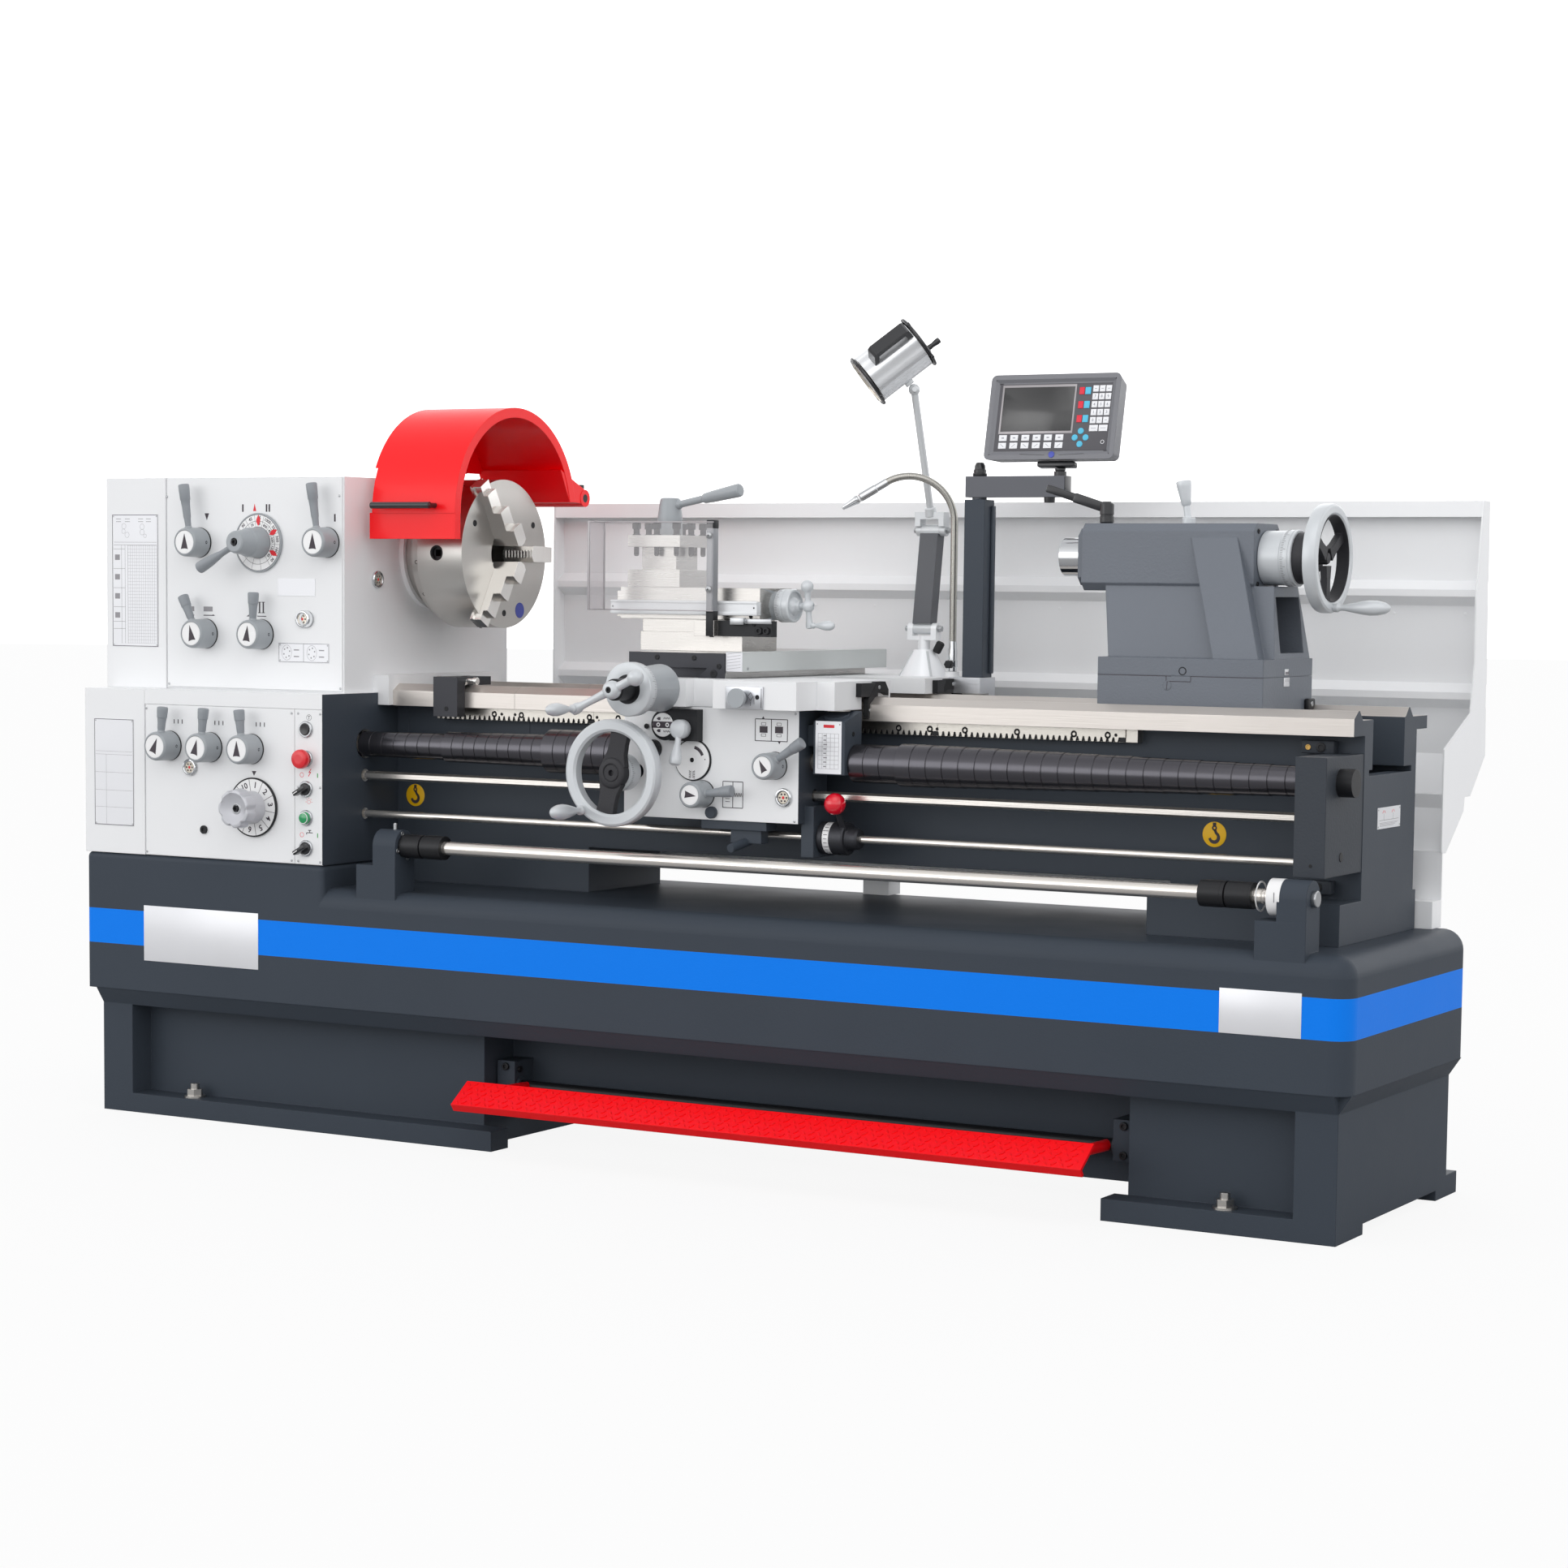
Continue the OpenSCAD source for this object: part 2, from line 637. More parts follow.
module shift_lever() place() color(grey) to_front(-580, head_front - gap, 1252) hand_lever(long_reach, -8);
module gear_lever() place() color(grey) to_front(-234, head_front - gap, 1253) hand_lever(long_reach, -8);
module reverse_lever() place() color(grey) to_front(-563, head_front - gap, 1055) hand_lever(short_reach, -25);
module range_lever() place() color(grey) to_front(-410, head_front - gap, 1056) hand_lever(short_reach, 2);
module feed_lever_a() place() color(grey) to_front(-590, gear_front - gap, 814) hand_lever(short_reach*0.94, 5);
module feed_lever_b() place() color(grey) to_front(-478, gear_front - gap, 814) hand_lever(short_reach*0.94, 5);
module feed_lever_c() place() color(grey) to_front(-366, gear_front - gap, 814) hand_lever(short_reach*0.94, -6);

module speed_selector() place() to_front(-416, head_front - gap, 1252) {
  color(white) cylinder(h = 6, d = dial_d);
  color(grey) {
    translate([0, 0, 5]) cylinder(h = 42, d = 66);
    translate([0, 0, 46]) cylinder(h = 40, d1 = 56, d2 = 46);
    translate([0, 0, 68]) rotate([0, 0, 117]) rotate([-90, 0, 0]) {
      cylinder(h = 62, d1 = 13, d2 = 16);
      translate([0, 0, 60]) cylinder(h = 64, d1 = 20, d2 = 26);
    }
  }
}

module feed_selector() place() to_front(-360, gear_front - gap, 690) {
  color(white) cylinder(h = 6, d = dial_d);
  color(grey) translate([0, 0, 5]) difference() {
    union() {
      cylinder(h = 44, d = 70);
      translate([0, 0, 40]) cylinder(h = 28, d = 82);
    }
    for (i = [0:6]) rotate([0, 0, i*360/7]) translate([47, 0, 36]) cylinder(h = 40, d = 26);
    translate([0, 0, 58]) cylinder(h = 12, d1 = 20, d2 = 64);
  }
}

// a push button or switch body in its hole in the strip
module panel_button(p, head_d, head_h) {
  to_front(strip_x, gear_front + 22, p[0]) cylinder(h = 28, d = p[1]*0.6);
  to_front(strip_x, gear_front - gap - 4.5, p[0]) cylinder(h = head_h, d = head_d);
}
module jog_button() place() color(black) panel_button(panel_posts[0], panel_posts[0][1], 8);
module stop_button() place() {
  color(red) {
    panel_button(panel_posts[1], stop_d*0.7, 14);
    to_front(strip_x, gear_front - 15, panel_posts[1][0]) cylinder(h = 14, d = stop_d);
  }
}
module rotary(p) {
  panel_button(p, p[1], 6);
  to_front(strip_x, gear_front - 9, p[0]) rotate([0, 0, 30]) translate([-22, -5, 0]) cube([34, 10, 14]);
}
module lamp_switch() place() color(black) rotary(panel_posts[2]);
module coolant_switch() place() color(black) rotary(panel_posts[3]);

// ---- spindle, chuck and guard ----

module spindle() place() color(steel) difference() {
  union() {
    to_x(head_split + 1, 0, spindle_z) cylinder(h = -chuck_l - plate_l - head_split - 1, d = spindle_d);
    to_x(head_right + 12 + gap, 0, spindle_z) cylinder(h = -chuck_l - plate_l - head_right - 12 - gap, d = chuck_d*0.72);
  }
  to_x(head_split - 2, 0, spindle_z) cylinder(h = 700, d = spindle_bore);
}

module chuck() place() {
  color(steel) difference() {
    union() {
      to_x(-chuck_l, 0, spindle_z) cylinder(h = chuck_l, d = chuck_d);
      to_x(-chuck_l - plate_l, 0, spindle_z) cylinder(h = plate_l + 1, d = chuck_d*0.9);
    }
    to_x(-chuck_l - plate_l - 1, 0, spindle_z) cylinder(h = chuck_l + plate_l + 2, d = chuck_bore);
    // tee slots, open at the face and the rim
    for (a = [0, 120, 240]) translate([0, 0, spindle_z]) rotate([a, 0, 0]) {
      box(-jaw_deep - run, 1, 0, chuck_d/2 + 5, -jaw_w/2 - run, jaw_w/2 + run);
      box(tongue_low - run, tongue_low + tongue_t + run, 0, chuck_d/2 + 5,
        -jaw_w/2 - tongue_out - run, jaw_w/2 + tongue_out + run);
    }
    for (a = key_turns) key_place(a) translate([0, 0, chuck_d/2 - key_deep]) cylinder(h = key_deep + 10, d = key_d);
  }
  // pinion heads with a square for the key
  color(black) for (a = key_turns) key_place(a) translate([0, 0, chuck_d/2 - key_deep - 1]) difference() {
    cylinder(h = key_deep - 6, d = key_d*0.8);
    translate([-key_d*0.21, -key_d*0.21, 4]) cube([key_d*0.42, key_d*0.42, key_deep]);
  }
}

module key_place(a) translate([-chuck_l*0.56, 0, spindle_z]) rotate([a - 90, 0, 0]) children();

// one hard jaw: tongues in the tee slot, a nose with slanting cheeks, and steps
// rounded about the spindle, grooved where they grip
module jaw(a) {
  steps = 3;
  nose = jaw_w*0.36;
  cheek = (jaw_w - nose)/2/tan(60);
  out = jaw_in + jaw_l;
  rise = jaw_h/steps;
  reach = [for (i = [0 : steps - 1]) jaw_in + jaw_l*(0.30 + 0.28*i)];
  place() color(steel) translate([0, 0, spindle_z]) rotate([a, 0, 0]) {
    difference() {
      run_x(-jaw_deep, jaw_h) polygon([[jaw_in, -nose/2], [jaw_in + cheek, -jaw_w/2], [out, -jaw_w/2],
        [out, jaw_w/2], [jaw_in + cheek, jaw_w/2], [jaw_in, nose/2]]);
      // steps
      difference() {
        box(jaw_foot, jaw_h + 1, jaw_in + cheek, out + 1, -jaw_w/2 - 1, jaw_w/2 + 1);
        for (i = [0 : steps - 1]) to_x(jaw_foot - 1, 0, 0) cylinder(h = rise*(steps - i) - jaw_foot + 1, r = reach[i]);
      }
      // gripping grooves of the nose and the steps
      for (x = [-jaw_deep + grip_pitch : grip_pitch : jaw_h - grip_pitch*0.6])
        box(x, x + grip_pitch*0.4, jaw_in - 1, jaw_in + 1.4, -jaw_w/2, jaw_w/2);
      for (i = [0 : steps - 1], k = [1 : 3]) translate([rise*(steps - i) - k*grip_pitch*0.4, 0, 0]) {
        difference() {
          to_x(0, 0, 0) cylinder(h = grip_pitch*0.2, r = reach[i] + 1);
          to_x(-1, 0, 0) cylinder(h = grip_pitch*0.2 + 2, r = reach[i] - 1.2);
        }
      }
    }
    box(tongue_low, tongue_low + tongue_t, jaw_in + cheek + 2, out, -jaw_w/2 - tongue_out, jaw_w/2 + tongue_out);
  }
}
module jaw_1() jaw(0);
module jaw_2() jaw(120);
module jaw_3() jaw(240);

module chuck_guard() place() {
  x0 = hood_end - hood_l;
  front = hood_y - hood_r;
  color(red) {
    // arch: full web above, open below it
    difference() {
      to_x(x0, hood_y, hood_z) cylinder(h = hood_l, r = hood_r);
      to_x(x0 + 6, hood_y, hood_z) cylinder(h = hood_l, r = hood_r - hood_t);
      box(x0 - 1, x0 + 7, front - 1, 300, hood_z - hood_r - 1, 1412);
      box(x0 - 1, hood_end + 1, front - 1, hood_y + 1, hood_z - hood_r - 1, hood_z);
      box(x0 - 1, hood_end + 1, hood_y, 300, hood_z - hood_r - 1, hinge_z - 10);
    }
    box(x0, hood_end, front + 1, front + hood_t - 1, hood_low, hood_z + 1);
    // hinge barrel and the web that carries it
    difference() {
      union() {
        run_x(x0 + 1, hood_end - 1) polygon([[hood_y + hood_r - 60, hinge_z + 60], [hinge_y + 6, hinge_z + 16],
          [hinge_y - 12, hinge_z - 12], [hood_y + hood_r - 24, hinge_z - 8]]);
        to_x(x0, hinge_y, hinge_z) cylinder(h = hood_l, d = guard_rod_d*2.1);
      }
      to_x(x0 - 1, hinge_y, hinge_z) cylinder(h = hood_l + 2, d = guard_rod_d + 2*run);
    }
  }
  color(black) {
    for (x = [-142, -2]) rod([x, front + 6, hood_low + 70], [x, front - 26, hood_low + 70], 11);
    rod([-147.5, front - 26, hood_low + 70], [3.5, front - 26, hood_low + 70], 14);
  }
}

// ---- shafts along the bed ----

module lead_screw() place() color(steel) {
  to_x(gear_right - 38, screw_y, screw_z) cylinder(h = end_left - 3 - gear_right + 38, d = screw_d);
  to_x(end_left - 4, screw_y, screw_z) cylinder(h = end_right - end_left + 4, d = screw_d*0.7);
}

module cover_tube(x0, x1, d0, d1) {
  to_x(x0, screw_y, screw_z) difference() {
    cylinder(h = x1 - x0, d1 = d0, d2 = d1);
    translate([0, 0, -1]) cylinder(h = x1 - x0 + 2, d = screw_d + 1);
  }
}
module screw_cover_left() place() color(black) {
  cover_tube(gear_right + 0.3, 40, cover_small, cover_small + 2);
  cover_tube(39.9, 300, cover_small + 10, cover_small + 14);
  cover_tube(299.9, apron_left - 0.5, cover_big, cover_big);
}
module screw_cover_right() place() color(black) {
  cover_tube(thread_box_x + 71, 1120, cover_big - 14, cover_big - 14);
  for (i = [0:11]) {
    x0 = 1119.9 + i*(end_left - 1120)/12;
    cover_tube(x0, x0 + (end_left - 1120)/12 + (i < 11 ? 0.1 : -0.5), cover_big - 6 - i*2.4, cover_big - 7 - i*2.4);
  }
}

module feed_rod() place() color(steel) {
  to_x(gear_right - 38, screw_y, feed_z) cylinder(h = end_left - 2 - gear_right + 38, d = feed_d, $fn = 6);
  to_x(end_left - 3, screw_y, feed_z) cylinder(h = 40, d = ctrl_d - 2);
}
module control_rod() place() color(steel) {
  to_x(gear_right - 38, screw_y, ctrl_z) cylinder(h = end_left - 2 - gear_right + 38, d = ctrl_d);
  to_x(end_left - 3, screw_y, ctrl_z) cylinder(h = 40, d = ctrl_d - 2);
}
module stop_bar() place() {
  color(steel) to_x(-60, bar_y, bar_z) cylinder(h = 2076, d = bar_d);
  color(black) {
    for (x = [4.5, 58, 1795, 1848]) to_x(x, bar_y, bar_z) difference() {
      cylinder(h = 50, d = bar_d*1.75);
      translate([0, 0, -1]) cylinder(h = 52, d = bar_d - 1);
    }
  }
}

// ---- carriage ----

module saddle() place() {
  color(white) difference() {
    union() {
      // wings over the ways and the bridge between them
      box(saddle_left, saddle_right, step_front, -92, way_z - 24, saddle_top);
      box(saddle_left, saddle_right, 60, saddle_back, way_z - 24, saddle_top);
      box(cross_left - 8, cross_right + 50, step_front, saddle_back, way_z + gap, saddle_top);
      translate([0, 0, way_z - 24]) linear_extrude(saddle_top - way_z + 24)
        polygon([[735, step_front + 1], [765, saddle_front], [apron_right + 30, saddle_front],
          [apron_right + 36, step_front + 1]]);
      // lamp foot
      translate([lamp_x, lamp_y, saddle_top - 1]) cylinder(h = 56, d1 = 104, d2 = 42);
      translate([hose_x, hose_y, saddle_top - 1]) cylinder(h = 12, d = 30);
      // foot of the readout's post
      box(saddle_right - 1, 1072, 165, 235, 942, 987);
    }
    // the ways pass beneath
    run_x(saddle_left - 1, 1080) {
      polygon([[-bed_wall - 70, 900], [-bed_wall - 70, way_z + gap], [-99, way_z + gap],
        [-99, 900]]);
      polygon([[59, 900], [59, way_z + gap], [bed_back + 6, way_z + gap], [bed_back + 6, 900]]);
    }
    to_front(835, saddle_front + 27, 953) cylinder(h = 36, d = 16 + 2*run);
  }
  // fork that holds the lamp's arm
  color(grey) {
    translate([lamp_x, lamp_y, saddle_top + 54]) cylinder(h = arm_foot[2] - saddle_top - 69, d = 26);
    box(lamp_x - 34, lamp_x + 34, lamp_y - 12, lamp_y + 12, arm_foot[2] - 24, arm_foot[2] - 15);
    for (x = [lamp_x - 34, lamp_x + 21 + gap]) {
      box(x, x + 12.7, lamp_y - 12, lamp_y + 12, arm_foot[2] - 16, arm_foot[2]);
      to_x(x, lamp_y, arm_foot[2]) cylinder(h = 12.7, d = 24);
    }
  }
  color(black) for (y = [-236, 92])
    box(saddle_right, saddle_right + 12, y, y + 70, way_z + 1, saddle_top - 4);
  color(grey) {
    // housing of the cross screw
    difference() {
      union() {
        box(cross_x - 62, cross_x + 62, step_front - 30, step_front, way_z - 24, saddle_top);
        to_front(cross_x, step_front - 29, dial_z)
          cylinder(h = step_front - 29 + 440, d1 = 96, d2 = 82);
      }
      to_front(cross_x, step_front - 59, dial_z) cylinder(h = 80, d = 24 + 2*run);
    }
    to_front(835, saddle_front, 953) difference() {
      translate([-38, -22, 0]) cube([84, 44, 3]);
      translate([0, 0, -1]) cylinder(h = 5, d = 16 + 2*run);
    }
  }
}

module apron() place() {
  color(white) difference() {
    box(apron_left, apron_right, apron_front, apron_back, apron_low, way_z - 24.2);
    // room for the shafts
    to_x(apron_left - 1, screw_y, screw_z) cylinder(h = 500, d = screw_d + 6);
    to_x(apron_left - 1, screw_y, feed_z) cylinder(h = 500, d = feed_d + 6);
    to_front(wheel_x, apron_front + 30, wheel_z) cylinder(h = 40, d = 30 + 2*run);
  }
  color(black) {
    // reverse housing
    to_front(628, apron_front, 893) cylinder(h = 22, d = 62);
    box(640, 704, apron_front - 22, apron_front, 862, 925);
    to_front(590, apron_front, 843) cylinder(h = 12, d = 38);
    to_front(683, apron_front, 824) cylinder(h = 2, d = 84);
    // bracket of the control lever
    difference() {
      box(apron_right - 8, 944, -300, apron_back, ctrl_z - 38, apron_low + 34);
      to_x(apron_right - 20, screw_y, ctrl_z) cylinder(h = 50, d = ctrl_d + 2*run);
    }
    // thread dial's box
    difference() {
      union() {
        translate([thread_box_x, 0, 0]) run_x(0, 70) polygon([[-306, 804], [-306, 908], [-238, 928],
          [-238, 850], [-262, 804]]);
        box(apron_right - 1, thread_box_x + 1, -290, -240, 858, 900);
      }
      to_x(thread_box_x - 30, screw_y, screw_z) cylinder(h = 110, d = screw_d + 6);
    }
    // trip dog below
    box(700, 850, apron_front + 4, apron_front + 44, apron_low - 18, apron_low);
    box(765, 835, apron_front + 10, apron_front + 38, apron_low - 44, apron_low - 17);
    rod([800, apron_front + 24, apron_low - 40], [790, bar_y + 8, bar_z + bar_d/2 + 18], 18);
  }
  color(white) {
    to_front(683, apron_front - 2, 824) cylinder(h = 3, d = 78);
    to_front(625, apron_front - 22, 893) cylinder(h = 2, d = 46);
    translate([thread_box_x + 34, -272, 916]) rotate([16.4, 0, 0]) cylinder(h = 6, d = 50);
  }
  color(steel) to_front(892, apron_front, 757) sight_glass();
  color(black) to_front(728, apron_front, 721) cylinder(h = 9, d = 24);
}

module apron_wheel() place() {
  color(grey) to_front(wheel_x, apron_front - gap, wheel_z) difference() {
    cylinder(h = 44, d = 74);
    translate([0, 0, 38]) cylinder(h = 10, d = 66);
  }
  color(black) to_front(wheel_x, hand_y + 64, wheel_z) {
    translate([0, 0, -8]) cylinder(h = 68, d = 62);
    for (a = [78, 258]) rotate([0, 0, a]) translate([0, -22, 44]) cube([wheel_d/2 - rim_d*0.6, 44, 14]);
  }
  color(steel) to_front(wheel_x, apron_front + 28, wheel_z) cylinder(h = 30, d = 30);
  color(grey) {
    to_front(wheel_x, hand_y + 14, wheel_z) rotate_extrude()
      translate([wheel_d/2 - rim_d/2, 0]) square([rim_d, 28], center = true);
    to_front(wheel_x - wheel_d*0.30, hand_y + 4, wheel_z - wheel_d*0.355) turned_grip(116, 30);
  }
}

module cross_slide() place() {
  color(steel) difference() {
    union() {
      box(cross_left, cross_right, cross_front + 14, saddle_back, saddle_top + 22, cross_top);
      translate([0, saddle_back, 0]) rotate([90, 0, 0]) linear_extrude(cross_l - 14)
        polygon([[cross_left + 50, saddle_top + gap], [cross_right - 50, saddle_top + gap],
          [cross_right - 30, saddle_top + 23], [cross_left + 30, saddle_top + 23]]);
      box(cross_right - 30, cross_right, cross_front + 14, saddle_back, saddle_top + gap, saddle_top + 23);
    }
    translate([swivel_x, comp_y, cross_top - 6]) cylinder(h = 8, d = swivel_w*0.7 + 2*run);
  }
  color(black) {
    box(cross_left, cross_right, cross_front, cross_front + 14, saddle_top + 20, cross_top);
    translate([0, cross_front + 14, 0]) rotate([90, 0, 0]) linear_extrude(14)
      polygon([[cross_right - 62, saddle_top + gap], [cross_right, saddle_top + gap], [cross_right, saddle_top + 21],
        [cross_right - 40, saddle_top + 21]]);
  }
  color(grey) box(cross_right, cross_right + 38, cross_front + 4, saddle_back + 26, saddle_top + 14, cross_top + 2);
}

// ball crank: arm through a hub, ball on one end, grip on the other
module ball_crank(arm, ball_arm, ball, grip_l, grip_w) {
  translate([0, 0, -9]) cylinder(h = 22, d = ball*0.85);
  rotate([0, 90, 0]) cylinder(h = ball_arm, d1 = ball*0.5, d2 = ball*0.4);
  translate([ball_arm, 0, 0]) sphere(d = ball);
  rotate([0, -90, 0]) cylinder(h = arm, d1 = ball*0.52, d2 = ball*0.38);
  translate([-arm, 0, 0]) sphere(d = ball*0.6);
  translate([-arm, 0, 0]) turned_grip(grip_l, grip_w);
}

module cross_crank() place() {
  color(grey) {
    to_front(cross_x, -440 - gap, dial_z) difference() {
      cylinder(h = 30, d = cross_dial_d);
      translate([0, 0, 24]) cylinder(h = 8, d = cross_dial_d*0.62);
    }
    to_front(cross_x, crank_y, dial_z) rotate([0, 0, 155]) ball_crank(92, 59, 33, 105, 26);
  }
  color(black) to_front(cross_x, -462, dial_z) cylinder(h = 57, d = 44);
  color(steel) to_front(cross_x, step_front - 60, dial_z) cylinder(h = 60, d = 24);
}

module swivel_base() place() {
  color(steel) {
    box(swivel_x - 122, swivel_x + 122, comp_y - swivel_w/2, comp_y + swivel_w/2, cross_top + gap, swivel_top - 26);
    box(swivel_x - 122, swivel_x + 122, comp_y - swivel_w/2 + 8, comp_y + swivel_w/2 - 8, swivel_top - 27, swivel_top);
    translate([swivel_x, comp_y, cross_top - 5.5]) cylinder(h = 8, d = swivel_w*0.7);
  }
  color(black) difference() {
    union() {
      box(upright_x - 37, 764, comp_y - swivel_w/2 - 20, comp_y - swivel_w/2, swivel_top - 33, swivel_top - 1);
      box(upright_x - 37, upright_x + 10, sheet_y + 4, comp_y - swivel_w/2 - 19, swivel_top - 33, swivel_top - 1);
    }
    translate([upright_x, sheet_y + 12.5, swivel_top - 20]) cylinder(h = 30, d = 10 + 2*run);
  }
}

module post_guard() place() {
  color(grey) {
    box(upright_x - 9, upright_x + 9, sheet_y + 3, sheet_y + 22, swivel_top - 1 + gap, 1303);
    translate([upright_x, sheet_y + 12.5, swivel_top - 19]) cylinder(h = 20, d = 10);
  }
  color([0.8, 0.85, 0.88, 0.35]) {
    box(372, upright_x + 12, sheet_y, sheet_y + 3, 1118, 1300);
    box(372, 375, sheet_y - 62, sheet_y, 1118, 1300);
  }
}

module top_slide() place() {
  color(steel) difference() {
    union() {
      box(slide_left, slide_right, comp_y - slide_w/2, comp_y + slide_w/2, swivel_top + gap, slide_top);
      box(slide_left - 8, slide_left, comp_y - slide_w/2, comp_y + slide_w/2, swivel_top + 4, slide_top - 8);
      translate([post_x, comp_y, slide_top - 1]) cylinder(h = 8, d = post_s*0.6);
      translate([post_x, comp_y, slide_top]) cylinder(h = 150, d = 30);
    }
    to_x(slide_right - 60, comp_y, 1131) cylinder(h = 80, d = 20 + 2*run);
  }
  color(grey) {
    box(372, slide_right + 2, comp_y - slide_w/2 - 16, comp_y - slide_w/2, swivel_top + 10, swivel_top + 37);
    to_x(slide_right, comp_y, 1131) difference() {
      cylinder(h = 14, d = 57);
      translate([0, 0, -1]) cylinder(h = 16, d = 20 + 2*run);
    }
  }
}

module top_crank() place() {
  color(steel) to_x(slide_right - 58, comp_y, 1131) cylinder(h = 80, d = 20);
  color(grey) {
    to_x(slide_right + 14 + gap, comp_y, 1131) cylinder(h = 32, d = 68);
    to_x(slide_right + 46, comp_y, 1131) cylinder(h = 24, d = 24);
    to_x(slide_right + 76, comp_y, 1131) rotate([0, 0, 172]) ball_crank(40, 40, 26, 58, 20);
  }
}

module tool_post() place() {
  color(steel) difference() {
    union() {
      box(post_x - post_s/2, post_x + post_s/2, comp_y - post_s/2, comp_y + post_s/2, slide_top + gap, slide_top + 36);
      box(post_x - post_s*0.33, post_x + post_s*0.33, comp_y - post_s*0.33, comp_y + post_s*0.33, slide_top + 35, post_top - post_plate + 1);
      box(post_x - post_s/2, post_x + post_s/2, comp_y - post_s/2, comp_y + post_s/2, post_top - post_plate, post_top);
    }
    translate([post_x, comp_y, slide_top]) cylinder(h = 8, d = post_s*0.6 + 1);
    translate([post_x, comp_y, slide_top]) cylinder(h = 150, d = 30 + 2*run);
  }
  color(black) for (a = [0 : 90 : 270]) translate([post_x, comp_y, 0]) rotate([0, 0, a])
    for (x = [-post_s*0.38, 0, post_s*0.38]) if (x > -post_s*0.3)
      translate([x, -post_s*0.41, post_top - post_plate - 17]) {
        cylinder(h = post_plate + 36, d = 10);
        translate([0, 0, post_plate + 30]) cylinder(h = 12, d = 13, $fn = 4);
      }
}

module post_lever() place() translate([post_x, comp_y, 0]) color(grey) {
  difference() {
    union() {
      translate([0, 0, post_top + gap]) cylinder(h = 40, d = 52);
      translate([0, 0, post_top + 40]) cylinder(h = 38, d1 = 52, d2 = 42);
    }
    cylinder(h = slide_top + 152, d = 30 + 2*run);
  }
  translate([0, 0, post_top + 60]) rotate([0, 80, -8]) {
    cylinder(h = post_reach*0.5, d = 15);
    translate([0, 0, post_reach*0.5 - 1]) cylinder(h = post_reach*0.5, d1 = 19, d2 = 28);
  }
}

module half_nut_lever() place() color(grey) to_front(871, apron_front - gap, 819) hand_lever(94, 58, 54);
module feed_engage_lever() place() color(grey) to_front(706, apron_front - gap, 757) hand_lever(88, 83, 54);
module feed_reverse_lever() place() color(grey) {
  to_front(672, apron_front - 22 - gap, 886) cylinder(h = 24, d = 38);
  to_front(672, apron_front - 36, 886) rotate([90, 0, 0]) cylinder(h = 66, d1 = 14, d2 = 22);
}
module lube_pump() place() color(grey) {
  to_front(835, saddle_front + 20, 953) cylinder(h = 29, d = 16);
  to_front(835, saddle_front - 8, 953) { cylinder(h = 14, d1 = 24, d2 = 38); translate([0, 0, 14]) cylinder(h = 8, d = 38); }
}

module control_lever() place() {
  color(black) {
    to_x(944 + gap, screw_y, ctrl_z) difference() {
      union() {
        cylinder(h = 84, d = 32);
        translate([0, 0, 28]) cylinder(h = 48, d = 55);
      }
      translate([0, 0, -1]) cylinder(h = 90, d = ctrl_d + 2*run);
    }
    rod([997, screw_y - 8, ctrl_z + 12], [998, screw_y - 50, 742], 10);
  }
  color(red) translate([998, screw_y - 52, 748]) sphere(d = 43);
}

// ---- lamp, coolant and readout on the carriage ----

arm_foot = [lamp_x, lamp_y, 1085];
arm_top = [lamp_x, lamp_y + 32, 1291];
rod_top = [lamp_x, lamp_y - 60, 1580];

module lamp_arm() place() {
  color(grey) {
    translate(arm_foot - [21, 0, 0]) rotate([0, 90, 0]) cylinder(h = 42, d = 24);
    translate(arm_top - [21, 0, 0]) rotate([0, 90, 0]) cylinder(h = 42, d = 24);
  }
  color(slate) translate(arm_foot) rotate([-atan2(32, 206), 0, 0]) translate([-21, -15, 8]) cube([42, 30, 192]);
}
module lamp_rod() place() color(grey) {
  for (x = [-34, 21 + gap]) translate(arm_top + [x, 0, 0]) rotate([0, 90, 0]) cylinder(h = 12.7, d = 24);
  translate(arm_top + [0, -6, 20]) difference() {
    translate([-34, -10, -12]) cube([68, 26, 30]);
    translate([-21.4, -11, -13]) cube([42.8, 28, 16]);
  }
  rod(arm_top + [0, -8, 34], rod_top, 15);
  translate(rod_top) sphere(d = 24);
}
module lamp_head() place() translate(rod_top) {
  translate([0, 0, 0]) rotate([0, 0, 31.5]) rotate([0, -128, 0]) {
    color(grey) {
      translate([lamp_d/2 + 16, 0, -lamp_l/2]) difference() {
        cylinder(h = lamp_l, d = lamp_d);
        translate([0, 0, 12]) cylinder(h = lamp_l, d = lamp_d - 8);
      }
      translate([12 + gap, -9, -9]) cube([10, 18, 18]);
    }
    color(black) translate([lamp_d/2 + 16, 0, 0]) {
      for (z = [-lamp_l/2 - 5, lamp_l/2 - 1]) translate([0, 0, z]) difference() {
        cylinder(h = 6, d = lamp_d + 6);
        translate([0, 0, z < 0 ? 5 : -1]) cylinder(h = 8, d = lamp_d - 8);
      }
      rotate([0, 0, -60]) translate([lamp_d/2 - 1, -9, -44]) difference() {
        cube([30, 18, 88]);
        translate([-1, -1, 12]) cube([20, 20, 64]);
      }
    }
  }
}

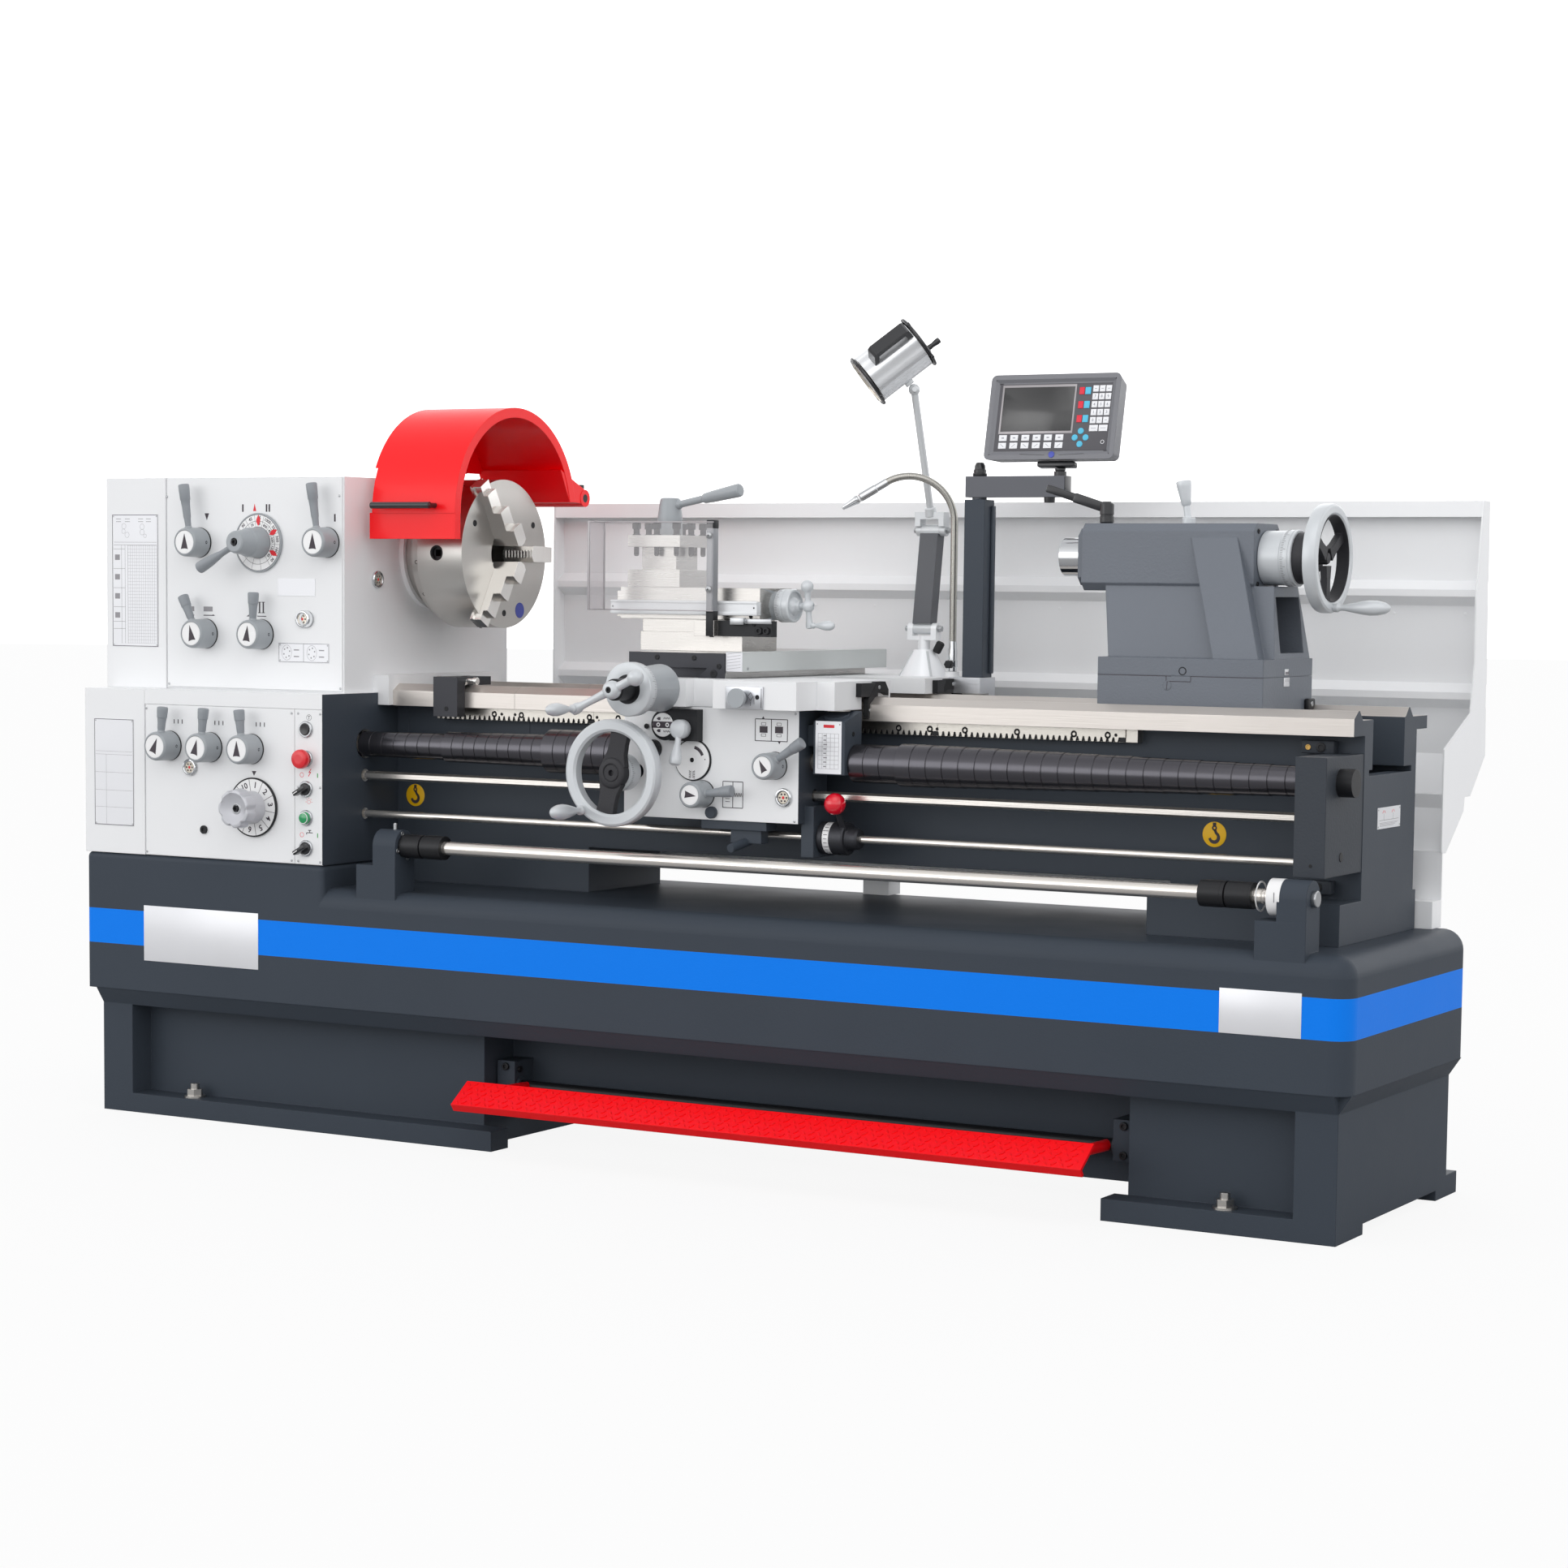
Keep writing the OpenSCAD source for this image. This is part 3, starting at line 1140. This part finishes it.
module coolant_hose() place() color(steel) translate([hose_x, hose_y, 0]) {
  translate([0, 0, saddle_top + 11 + gap]) cylinder(h = 40, d = 22);
  translate([0, 0, saddle_top + 50]) cylinder(h = 1306 - saddle_top - 50, d = 15.4);
  rotate([0, 0, 213.5]) {
    translate([95, 0, 1305]) mirror([1, 0, 0]) rotate([90, 0, 0])
      rotate_extrude(angle = 121) translate([95, 0]) circle(d = 15);
    translate([95 + 95*sin(31), 0, 1305 + 95*cos(31)]) rotate([0, 121, 0]) {
      translate([0, 0, -2]) cylinder(h = 26, d = 16);
      translate([0, 0, 22]) cylinder(h = 54, d = 19);
      translate([0, 0, 75]) cylinder(h = 32, d1 = 16, d2 = 9);
    }
  }
}

module readout_post() place() {
  color(slate) {
    box(1024, 1070, 178, 222, 987 + gap, 1352);
    box(1022, 1246, 184, 216, 1357, 1400);
    translate([1047, 200, 1351]) cylinder(h = 7, d = 30);
  }
  color(black) {
    translate([1047, 200, 1399]) { cylinder(h = 16, d = 24); translate([0, 0, 15]) cylinder(h = 12, d = 18); }
    translate([1229, 200, 1399]) cylinder(h = 10, d = 26);
  }
}

module readout() place() {
  color(black) translate([1229, 200, 1409 + gap]) cylinder(h = 22, d = 22);
  color(slate) translate([1210, 200, 1428]) rotate([-12, 0, 0]) difference() {
    translate([-panel_w/2, -panel_t/2, 0]) cube([panel_w, panel_t, panel_h]);
    translate([-panel_w/2 + 24, -panel_t/2 - 1, 34]) cube([panel_w - 48, 7, panel_h - 52]);
  }
}

// ---- tailstock ----

module tailstock() place() color(slate) {
  difference() {
    union() {
      box(tail_left, tail_right, -150, 101, 1009.5, 1043);
      difference() {
        box(tail_left, tail_right, -150, 101, flat_z + gap, 1009);
        run_x(tail_left - 1, tail_right + 1) polygon([[inner_back - gap, 900], [inner_back - gap, way_z + gap], [110, way_z + gap], [110, 900]]);
        box(tail_left - 1, tail_right + 1, -151, inner_front, 900, flat_z + gap);
      }
      box(tail_left + 40, tail_right - 40, -120, 60, 1008, 1011);
      // neck between sole and barrel
      intersection() {
        to_front(0, 100, 0) linear_extrude(240)
          polygon([[1452, 1180], [1800, 1180], [1816, 1042], [tail_left - 5, 1042]]);
        run_x(1400, 1850) polygon([[-60, 1180], [62, 1180], [92, 1042], [-92, 1042]]);
      }
      intersection() {
        to_front(0, 0, 0) linear_extrude(140) polygon([[1631, 1272], [1726, 1272], [1796, 1042], [1704, 1042]]);
        run_x(1600, 1810) polygon([[-20, 1272], [-66, 1272], [-122, 1042], [-20, 1042]]);
      }
      // barrel
      to_x(barrel_left, 0, spindle_z) translate([0, 0, 12]) linear_extrude(barrel_l) barrel_shape(barrel_w);
      to_x(barrel_left, 0, spindle_z) linear_extrude(13) barrel_shape(barrel_w - 20);
    }
    to_x(barrel_left - 1, 0, spindle_z) cylinder(h = barrel_l - 10, d = quill_d + 2*run);
    to_x(barrel_right - 60, 0, spindle_z) cylinder(h = 80, d = 30 + 2*run);
    box(1700, 1860, -58, 62, 1054, 1160);
  }
}

module barrel_shape(w) {
  c = barrel_cut;
  h = w/2;
  polygon([[-h + c, -h], [h - c, -h], [h, -h + c], [h, h - c], [h - c, h], [-h + c, h], [-h, h - c], [-h, -h + c]]);
}

module quill() place() color(steel) difference() {
  to_x(quill_face, 0, spindle_z) cylinder(h = 260, d = quill_d);
  to_x(quill_face - 1, 0, spindle_z) cylinder(h = 110, d1 = 44, d2 = 36);
  to_x(quill_face + 100, 0, spindle_z) cylinder(h = 170, d = 34);
}

module tail_wheel() place() {
  color(steel) to_x(barrel_right - 120, 0, spindle_z) cylinder(h = 130, d = 30);
  color(grey) to_x(barrel_right + gap, 0, spindle_z) {
    cylinder(h = 44, d = 104);
    translate([0, 0, 43]) cylinder(h = 24, d = 108);
  }
  color(black) {
    to_x(barrel_right + 66, 0, spindle_z) cylinder(h = 22, d = 98);
    for (a = [30, 150, 270]) translate([0, 0, spindle_z]) rotate([a, 0, 0])
      rod([barrel_right + 76, 20, 0], [barrel_right + 122, tail_wheel_d/2 - 12, 0], 18);
  }
  color(grey) {
    to_x(barrel_right + 122, 0, spindle_z) rotate_extrude()
      translate([tail_wheel_d/2 - 10, 0]) square([20, 28], center = true);
    to_x(barrel_right + 134, 0, spindle_z - tail_wheel_d/2 + 11) turned_grip(116, 28);
  }
}

module quill_lock() place() color(grey) translate([1598, 0, spindle_z + barrel_w/2 + gap]) {
  cylinder(h = 12, d = 26);
  translate([0, 0, 3]) rotate([0, -9, 0]) { cylinder(h = 34, d = 15); translate([0, 0, 32]) cylinder(h = 48, d1 = 18, d2 = 30); }
}
module tail_clamp() place() color(black) translate([1425, 0, spindle_z + barrel_w/2 + gap]) {
  cylinder(h = 40, d = 28);
  rotate([0, 0, 190]) rotate([0, 72, 0]) translate([-28, 0, 10]) cylinder(h = 130, d1 = 20, d2 = 14);
}

// ---- bed stop and brake pedal ----

module bed_stop() place() {
  color(black) difference() {
    box(-24, 38, -228, -104, 888, 972);
    run_x(-25, 39) polygon([[bed_front - gap, 887], [bed_front - gap, way_z + gap], [-103, way_z + gap],
      [-103, flat_z + gap], [-103, 887]]);
  }
  color(steel) to_x(-40, -190, 963.5) cylinder(h = 96, d = 12);
}

module brake_pedal() place() {
  color(black) {
    to_x(left_foot_end - 34, pedal_axis_y, pedal_axis_z) cylinder(h = right_foot_start - left_foot_end + 66, d = 26);
    for (x = [left_foot_end + 70, right_foot_start - 70])
      rod([x, pedal_axis_y, pedal_axis_z], [x, foot_front - 50, 128], 22);
  }
  color(red) translate([0, foot_front - 60, 124]) rotate([35, 0, 0]) {
    box(left_foot_end + 24, right_foot_start - 28, -pedal_w/2, pedal_w/2, 0, pedal_t);
    box(left_foot_end + 24, right_foot_start - 28, -pedal_w/2, -pedal_w/2 + pedal_t, -12, 1);
  }
}

base();
bed();
gap_bridge();
headstock();
gearbox();
shift_lever();
gear_lever();
reverse_lever();
range_lever();
speed_selector();
feed_lever_a();
feed_lever_b();
feed_lever_c();
feed_selector();
jog_button();
stop_button();
lamp_switch();
coolant_switch();
spindle();
chuck();
jaw_1();
jaw_2();
jaw_3();
chuck_guard();
lead_screw();
screw_cover_left();
screw_cover_right();
feed_rod();
control_rod();
stop_bar();
saddle();
apron();
apron_wheel();
cross_slide();
cross_crank();
swivel_base();
top_slide();
top_crank();
tool_post();
post_lever();
post_guard();
half_nut_lever();
feed_engage_lever();
feed_reverse_lever();
lube_pump();
control_lever();
tailstock();
quill();
tail_wheel();
quill_lock();
tail_clamp();
bed_stop();
lamp_arm();
lamp_rod();
lamp_head();
coolant_hose();
readout_post();
readout();
back_guard();
brake_pedal();
